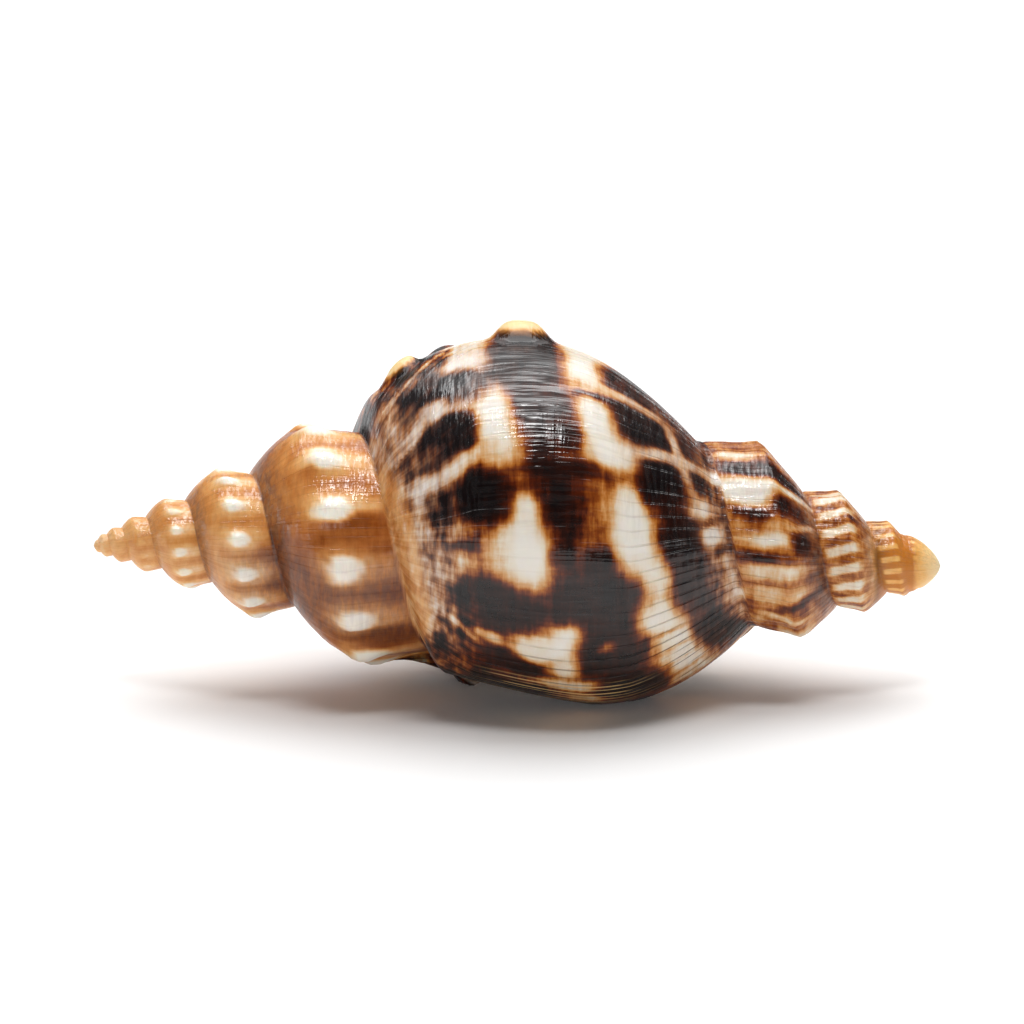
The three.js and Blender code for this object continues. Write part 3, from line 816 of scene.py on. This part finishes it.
def mauve_places(where):
    """The mauve, scratched places: beside the grooves, low on the tan whorls and on both shoulders."""
    along, turn = where.along, where.turn
    pale, brown, low, left, right = MAUVE_PALE, MAUVE_BROWN, MAUVE_LOW, MAUVE_SHOULDER, MAUVE_SIDE
    beside_pale = pale.share * fade(*pale.groove, where.pale_share) * ease(*pale.tip, along)
    beside_brown = brown.share * fade(*brown.groove, where.brown_share)
    beside_brown = beside_brown * ease(*brown.tip, LENGTH - along)
    lower_tan = low.share * ease(*low.start, turn) * fade(*low.end, turn) * ease(*low.tip, along)
    past = along - left.wider * fade(*left.wider_to, turn)
    shoulder = fade(*left.end, past) * bump(turn - left.turn, left.half_turn, MAUVE_POWER)
    shoulder = shoulder * (1 - left.less_on_tan * tan_places(where))
    upper = ease(*MAUVE_UPPER_SIDE.start, along) * fade(*MAUVE_UPPER_SIDE.end, turn)
    side = right.share * np.maximum(ease(*right.start, along), upper)
    side = side * bump(turn - right.turn, right.half_turn, MAUVE_POWER)
    return np.maximum.reduce([
        where.is_pale * np.maximum(beside_pale, lower_tan),
        where.is_brown * beside_brown,
        where.is_body * np.maximum(shoulder, side),
    ])


def tan_places(where):
    """1 on the tan whorls and where their colour runs on over the start of the body."""
    over = TAN_OVER
    width = over.width * ease(*over.grows, where.turn) * fade(*over.fades, where.turn)
    past_groove = where.along - body_ends(where.counted / 360)[0]
    share = fade(-over.edge, over.edge, past_groove - width) * ease(0, over.edge, width)
    return np.where(where.is_pale, 1, where.is_body * share)


def streaky_places(where):
    """How strongly light and dark streaks break the markings."""
    near_pale = fade(*STREAKY.pale, where.along)
    near_brown = STREAKY.brown_share * ease(*STREAKY.brown, where.along)
    around = STREAKY.top + (1 - STREAKY.top) * ease(*STREAKY.turn, where.turn)
    streaky = np.maximum(near_pale * around, near_brown)
    return where.is_body * streaky * (1 - STREAKY.less_on_tan * tan_places(where))


def ridged_places(where):
    """How clearly the growth lines show."""
    ridged = LINES_PLAIN + LINES_RIGHT.more * ease(*LINES_RIGHT.start, where.along)
    ridged = ridged + LINES_BELOW.more * ease(*LINES_BELOW.start, where.turn)
    ridged = ridged * (1 - LINES_FAR.less * ease(*LINES_FAR.start, where.turn))
    ridged = ridged * fade(*LINES_CAP, knob_caps(where.along, where.turn))
    return np.where(where.is_body, ridged, LINES_PALE + LINES_BROWN * where.is_brown)


def broken_places(where):
    """How far the gloss is broken up: most on the upper half of the near side."""
    top = BROKEN.top + (1 - BROKEN.top) * ease(*BROKEN.turns, where.turn)
    return BROKEN.least + (1 - BROKEN.least) * top * fade(*BROKEN.end, where.turn)


def scratched_places(where):
    """1 where fine scratches round the shell break the gloss, 0 where dashes along it do."""
    left = fade(*SCRATCHED_LEFT, where.along)
    return np.where(where.is_body, np.maximum(left, ease(*SCRATCHED_RIGHT, where.along)), 1)


def gold_places(where):
    """How golden each point is, and its tone there: the knobs' caps and the brown spire's tip."""
    caps = knob_caps(where.along, where.turn)
    tip = where.is_brown * ease(*GOLD_TIP, where.along)
    bars = TIP_BAR_LIGHT * (bar_wave(where) - 0.5) * fade(*TIP_BARS_END, where.along)
    tip_tone = fade(*PALE_GOLD_TIP, where.along) - bars
    return np.maximum(caps, tip), np.where(where.is_brown, tip_tone, 1 - caps)


def lip_places(where):
    """Where the golden lines at the outer lip are."""
    at = LIP_LINES_AT
    around = ease(*at.start, where.turn) * fade(*at.end, where.turn)
    return around * bump(where.along - at.along, at.half_length, at.power)


def surface_values(points):
    """The values and places that the material reads at each point, in millimetres."""
    where = whorl_places(points)

    def marked(tone, marks):
        tones = paint(np.full(len(where.along), tone), where.along, where.turn, far_marks())
        return paint(tones, where.along, where.turn, marks)

    # the body's markings, with painted shade on its underside
    body = marked(BODY_TONE, BODY_MARKS_AND_SHADE)
    first = marked(BROWN_TONE, BROWN_MARKS)
    brown = np.where(where.brown_whorl == -1, first, bar_tone(where))
    tan = tan_places(where)
    body = body + (PALE_TONE - body) * tan
    tone = np.where(where.is_pale, pale_tone(where), np.where(where.is_brown, brown, body))
    gold, gold_tone = gold_places(where)
    tone = tone + (gold_tone - tone) * ease(*GOLD_OVER, gold)
    return {
        "tone": np.clip(tone, 0, 1),
        "ridged": np.clip(ridged_places(where), 0, 1),
        "streaky": streaky_places(where),
        "pale": tan,
        "mauve": mauve_places(where),
        "gold": gold,
        "broken": broken_places(where),
        "scratched": scratched_places(where),
        "lip": where.is_body * lip_places(where),
        "inside": ease(*INSIDE_DEPTH, where.depth),
        "unrolled": unrolled_places(where),
        "solid_place": points,
    }


def store(mesh, name, values):
    """Keeps one number, or one place, for each point."""
    values = np.asarray(values, dtype=np.float32)
    kind, key = ("FLOAT", "value") if values.ndim == 1 else ("FLOAT_VECTOR", "vector")
    mesh.attributes.new(name, kind, "POINT").data.foreach_set(key, values.ravel())


def unrolled_places(where):
    """Place along the shell and on a circle of one size, so that streaks run from tip to tip."""
    around = np.radians(np.where(where.is_body, growth_turn(where.along, where.turn), where.turn))
    return np.stack([where.along, BODY_RADIUS * np.cos(around), BODY_RADIUS * np.sin(around)], axis=-1)


def srgb(red, green, blue):
    """A colour given by its screen values, 0 to 255, as the renderer's own."""
    def linear(value):
        share = value / 255
        return share / 12.92 if share <= 0.04045 else ((share + 0.055) / 1.055) ** 2.4
    return (linear(red), linear(green), linear(blue), 1)


class Nodes:
    """Short calls for making a material's nodes."""

    def __init__(self, name):
        self.material = bpy.data.materials.new(name)
        self.material.use_nodes = True
        self.tree = self.material.node_tree
        self.shader = self.tree.nodes["Principled BSDF"]

    def connect(self, value, socket):
        if isinstance(value, bpy.types.NodeSocket):
            self.tree.links.new(value, socket)
        else:
            socket.default_value = value

    def dress(self, values):
        """Gives the shader these values or links, by the names of its inputs."""
        for name, value in values.items():
            self.connect(value, self.shader.inputs[name])

    def node(self, kind, output, inputs, **settings):
        node = self.tree.nodes.new("ShaderNode" + kind)
        for name, value in settings.items():
            setattr(node, name, value)
        for name, value in inputs.items():
            self.connect(value, node.inputs[name])
        return node.outputs[output]

    def value(self, name, output="Fac"):
        return self.node("Attribute", output, {}, attribute_name=name)

    def math(self, operation, *values):
        return self.node("Math", 0, dict(enumerate(values)), operation=operation)

    def product(self, first, second):
        return self.math("MULTIPLY", first, second)

    def noise(self, place_read, stretch, scale, detail, roughness):
        inputs = {0: self.value(place_read, "Vector"), 1: stretch}
        vector = self.node("VectorMath", 0, inputs, operation="MULTIPLY")
        inputs = {"Vector": vector, "Scale": scale, "Detail": detail, "Roughness": roughness}
        return self.node("TexNoise", "Fac", inputs)

    def ramp(self, value, stops):
        node = self.tree.nodes.new("ShaderNodeValToRGB")
        self.connect(value, node.inputs["Fac"])
        elements = node.color_ramp.elements
        for stop in stops[len(elements):]:
            elements.new(stop[0])
        for element, (position, *colour) in zip(elements, stops):
            element.position = position
            element.color = srgb(*colour)
        return node.outputs["Color"]

    def fit(self, value, low, high, new_low=0, new_high=1):
        """The value, eased from the span low to high into the new one."""
        inputs = {
            "Value": value, "From Min": low, "From Max": high, "To Min": new_low, "To Max": new_high,
        }
        return self.node("MapRange", "Result", inputs, interpolation_type="SMOOTHSTEP")

    def mix(self, share, first, second, blend="MIX"):
        # a mix node's inputs 6 and 7 and its output 2 are the colours
        inputs = {0: share, 6: first, 7: second}
        return self.node("Mix", 2, inputs, data_type="RGBA", blend_type=blend)

    def mix_values(self, share, first, second):
        return self.node("Mix", 0, {0: share, 2: first, 3: second})

    def bump(self, height, strength, distance, normal=None):
        inputs = {"Strength": abs(strength), "Distance": distance, "Height": height}
        if normal is not None:
            inputs["Normal"] = normal
        return self.node("Bump", "Normal", inputs, invert=strength < 0)


# The markings' colours: a tone, then red, green and blue as on a screen, 0 to 255
BODY_COLOURS = (
    (0, 242, 235, 224), (0.14, 235, 218, 194), (0.28, 224, 184, 138),
    (0.4, 214, 154, 92), (0.52, 184, 110, 44), (0.64, 136, 65, 18),
    (0.76, 84, 29, 7), (0.88, 42, 14, 6), (1, 16, 8, 8),
)
PALE_COLOURS = (
    (0, 255, 248, 234), (0.2, 248, 218, 180), (0.4, 234, 178, 114),
    (0.55, 214, 144, 78), (0.7, 182, 108, 50), (0.85, 144, 74, 22),
    (1, 98, 44, 12),
)
MAUVE_COLOURS = (
    (0, 232, 222, 214), (0.25, 212, 188, 172), (0.45, 178, 140, 116),
    (0.6, 142, 98, 70), (0.8, 80, 54, 46), (1, 30, 23, 24),
)
GOLD_COLOURS = (
    (0, 255, 218, 158), (0.5, 244, 184, 102), (1, 204, 124, 42),
)
INSIDE = srgb(226, 206, 188)
INSIDE_DEEP = srgb(168, 112, 84)
LINE_SHADE = srgb(120, 78, 52)
LIP_GOLD = srgb(255, 212, 146)

# Noises, by the place that they read, its stretch, then scale, detail and roughness. Streaks and
# dashes lie along the shell, threads and scratches wind round it, and wander moves the thin lines.
PATTERNS = {
    "blotches": ("solid_place", (1, 0.7, 0.6), 0.75, 2, 0.5),
    "streaks": ("unrolled", (0.14, 1, 1), 1.3, 3, 0.6),
    "dashes": ("unrolled", (0.09, 1, 1), 3.6, 2, 0.6),
    "threads": ("unrolled", (1, 0.12, 0.12), 2.2, 3, 0.6),
    "scratches": ("unrolled", (1, 0.12, 0.12), 4.2, 2, 0.6),
    "clouds": ("solid_place", (1, 1, 1), 0.6, 4, 0.6),
    "wander": ("unrolled", (0.6, 1, 1), 0.11, 1, 0.4),
}
# How far each pattern moves the tone: on plain areas, and more on the patches' edges and where streaky
TONE_SHIFTS = (
    ("clouds", 0.22, 0.4, 0),
    ("threads", 0.12, 0.4, 0.6),
    ("streaks", 0.1, 0.25, 0.35),
    ("blotches", 0, 0.1, 1.7),
)
# The share of the patches' edges that counts on the tan whorls, and the share of all in the cream
TAN_EDGE_SHARE = 0.25
CREAM_SHARE = 0.35
CREAM_TONE = 0.25
# Spans of a pattern, and what they are turned into
MAUVE_BREAKS = (0.36, 0.6, 0.55, 1)
INSIDE_CLOUDS = (0.35, 0.75, 0, 0.3)
COAT_WEIGHT = (0.43, 0.6, 0.12, 1)
ROUGHNESS = (0.35, 0.65, 0.35, 0.55)
# Thin lines: how many to a turn, the height of their wave at which they start, the value that says
# where they are, and the span of the streaks over which they appear
GROWTH_LINES = (74, 0.8, "ridged", (0.36, 0.56))
LIP_LINES = (120, 0.3, "lip", (0.38, 0.55))
# How far they wander, in radians, and how dark the growth lines are
LINE_WANDER = 9
GROWTH_LINE_SHARE = 0.7
# The value of the gloss's pattern where it is even
UNBROKEN = 0.495
# Fine relief in the material: strength, below 0 for cut lines, and height in metres
GROWTH_BUMP = (-0.7, 0.0002)
STREAK_BUMP = (0.16, 0.0003)
THREAD_BUMP = (0.3, 0.0002)
COAT_BUMP = (0.5, 0.0001)
SHELL_SHADER = {
    "Specular IOR Level": 0.05,
    "Coat Roughness": 0.08,
    "Coat IOR": 1.8,
    "Subsurface Weight": 0.2,
    "Subsurface Radius": (1, 0.45, 0.2),
    "Subsurface Scale": 0.0012,
}


def shifted_tone(nodes, tone, found):
    """The tone, moved a little by each pattern: most where it changes from light to dark."""
    # 1 half way between light and dark, 0 at both
    edge = nodes.product(nodes.product(tone, 4), nodes.math("SUBTRACT", 1, tone))
    edge = nodes.product(edge, nodes.fit(nodes.value("pale"), 0, 1, 1, TAN_EDGE_SHARE))
    streaky = nodes.value("streaky")
    calm = nodes.fit(tone, 0, CREAM_TONE, CREAM_SHARE, 1)
    moved = tone
    for name, plain, on_edges, on_streaky in TONE_SHIFTS:
        share = nodes.math("MULTIPLY_ADD", edge, on_edges, plain)
        share = nodes.math("MULTIPLY_ADD", streaky, on_streaky, share)
        share = nodes.product(share, calm)
        moved = nodes.math("MULTIPLY_ADD", nodes.math("SUBTRACT", found[name], 0.5), share, moved)
    return nodes.math("MINIMUM", nodes.math("MAXIMUM", moved, 0), 1)


def shell_colour(nodes, found, growth):
    moved = shifted_tone(nodes, nodes.value("tone"), found)
    colour = nodes.ramp(moved, BODY_COLOURS)
    colour = nodes.mix(nodes.value("pale"), colour, nodes.ramp(moved, PALE_COLOURS))
    mauve = nodes.product(nodes.value("mauve"), nodes.fit(found["scratches"], *MAUVE_BREAKS))
    colour = nodes.mix(mauve, colour, nodes.ramp(moved, MAUVE_COLOURS))
    colour = nodes.mix(nodes.value("gold"), colour, nodes.ramp(moved, GOLD_COLOURS))
    inner = nodes.mix(nodes.fit(found["clouds"], *INSIDE_CLOUDS), INSIDE, INSIDE_DEEP)
    colour = nodes.mix(nodes.value("inside"), colour, inner)
    growth = nodes.product(growth, GROWTH_LINE_SHARE)
    colour = nodes.mix(growth, colour, LINE_SHADE, "MULTIPLY")
    return nodes.mix(thin_lines(nodes, found, *LIP_LINES), colour, LIP_GOLD)


def thin_lines(nodes, found, count, thinnest, places, breaks):
    """Thin lines along the shell, evenly spaced round it but for a wander, and broken by streaks."""
    parts = nodes.tree.nodes.new("ShaderNodeSeparateXYZ")
    nodes.connect(nodes.value("unrolled", "Vector"), parts.inputs[0])
    turn = nodes.math("ARCTAN2", parts.outputs[2], parts.outputs[1])
    phase = nodes.math("MULTIPLY_ADD", found["wander"], LINE_WANDER, nodes.product(turn, count))
    lines = nodes.fit(nodes.math("COSINE", phase), thinnest, 1)
    lines = nodes.product(lines, nodes.fit(found["streaks"], *breaks))
    return nodes.product(lines, nodes.value(places))


def shell_material():
    nodes = Nodes("shell_surface")
    found = {name: nodes.noise(*values) for name, values in PATTERNS.items()}
    growth = thin_lines(nodes, found, *GROWTH_LINES)
    # gloss that is broken into dashes along the body and into scratches round the shoulders and spires
    broken = nodes.mix_values(nodes.value("scratched"), found["dashes"], found["scratches"])
    broken = nodes.mix_values(nodes.value("broken"), UNBROKEN, broken)
    normal = nodes.bump(growth, *GROWTH_BUMP)
    normal = nodes.bump(found["streaks"], *STREAK_BUMP, normal)
    normal = nodes.bump(found["threads"], *THREAD_BUMP, normal)
    nodes.dress({
        "Base Color": shell_colour(nodes, found, growth),
        "Coat Weight": nodes.fit(broken, *COAT_WEIGHT),
        "Roughness": nodes.fit(found["streaks"], *ROUGHNESS),
        "Normal": normal,
        "Coat Normal": nodes.bump(broken, *COAT_BUMP, normal),
    })
    nodes.dress(SHELL_SHADER)
    return nodes.material


# The floor's size, in millimetres
FLOOR_SIZE = 6000
FLOOR_SHADER = {
    "Base Color": (0.92, 0.92, 0.92, 1),
    "Emission Color": (1, 1, 1, 1),
    "Emission Strength": 0.02,
    "Roughness": 0.9,
    "Specular IOR Level": 0,
}
# The camera's lens and sensor and the point that it aims at, in millimetres
CAMERA_LENS = 400
CAMERA_SENSOR = 36
AIM_ALONG = -0.36
AIM_HEIGHT = 12.92
# Its distance and how near and far it sees, in metres
CAMERA_DISTANCE = 0.805
CAMERA_SEES = (0.05, 20)
CAMERA_ELEVATION = 17
# Each light's place and size, in metres, and its power
LIGHTS = {
    "softbox": ((0, 0.5, 1.5), (1.8, 1.2), 25),
    "strip": ((0, -0.28, 1.4), (0.6, 0.24), 6),
    "back": ((0, 1.5, 1.3), (2.4, 1.2), 15),
    "fill": ((0, -0.7, 0.12), (1.4, 0.24), 1.25),
}
LIGHT_TARGET = (0, 0, 0.01)
WORLD_LIGHT = 0.08


def make_floor():
    half = FLOOR_SIZE / 2
    corners = np.array([(-half, -half, 0), (half, -half, 0), (half, half, 0), (-half, half, 0)])
    floor = new_mesh("floor", corners, [range(len(corners))])
    nodes = Nodes("floor")
    nodes.dress(FLOOR_SHADER)
    floor.data.materials.append(nodes.material)


def aim(thing, target):
    direction = target - thing.location
    thing.rotation_euler = direction.to_track_quat("-Z", "Y").to_euler()


def make_camera():
    data = bpy.data.cameras.new("camera")
    data.sensor_width = CAMERA_SENSOR
    data.lens = CAMERA_LENS
    data.clip_start, data.clip_end = CAMERA_SEES
    camera = add("camera", data)
    target = Vector((AIM_ALONG * MM, spine_side * MM, AIM_HEIGHT * MM))
    tilt = math.radians(CAMERA_ELEVATION)
    camera.location = target + CAMERA_DISTANCE * Vector((0, -math.cos(tilt), math.sin(tilt)))
    aim(camera, target)
    bpy.context.scene.camera = camera


def make_lights():
    """The lights. The fill light doesn't show in the gloss."""
    for name, (at, size, power) in LIGHTS.items():
        data = bpy.data.lights.new(name, "AREA")
        data.shape = "RECTANGLE"
        data.size, data.size_y = size
        data.energy = power
        light = add(name, data)
        light.location = at
        light.visible_glossy = name != "fill"
        aim(light, Vector(LIGHT_TARGET))
    world = bpy.data.worlds.new("world")
    bpy.context.scene.world = world
    world.use_nodes = True
    background = world.node_tree.nodes["Background"]
    background.inputs["Color"].default_value = (1, 1, 1, 1)
    background.inputs["Strength"].default_value = WORLD_LIGHT


def finish_outside(piece):
    """Dresses the piece and moves it into the frame. Returns the spine's place across, in mm."""
    mesh = piece.data
    places = np.zeros((len(mesh.vertices), 3))
    mesh.vertices.foreach_get("co", places.ravel())
    for name, values in surface_values(places / MM).items():
        store(mesh, name, values)
    mesh.polygons.foreach_set("use_smooth", np.ones(len(mesh.polygons), dtype=bool))
    mesh.materials.clear()
    mesh.materials.append(shell_material())
    middle = (places.max(axis=0) + places.min(axis=0)) / 2
    mesh.vertices.foreach_set("co", (places - [middle[0], middle[1], 0]).astype(np.float32).ravel())
    mesh.update()
    return -middle[1] / MM


outside = outside_piece()
cut(outside, hollow_piece())
spine_side = finish_outside(outside)

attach(outside, "root")
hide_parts("shell")

make_floor()
make_camera()
make_lights()
bpy.context.scene.view_settings.view_transform = "Standard"
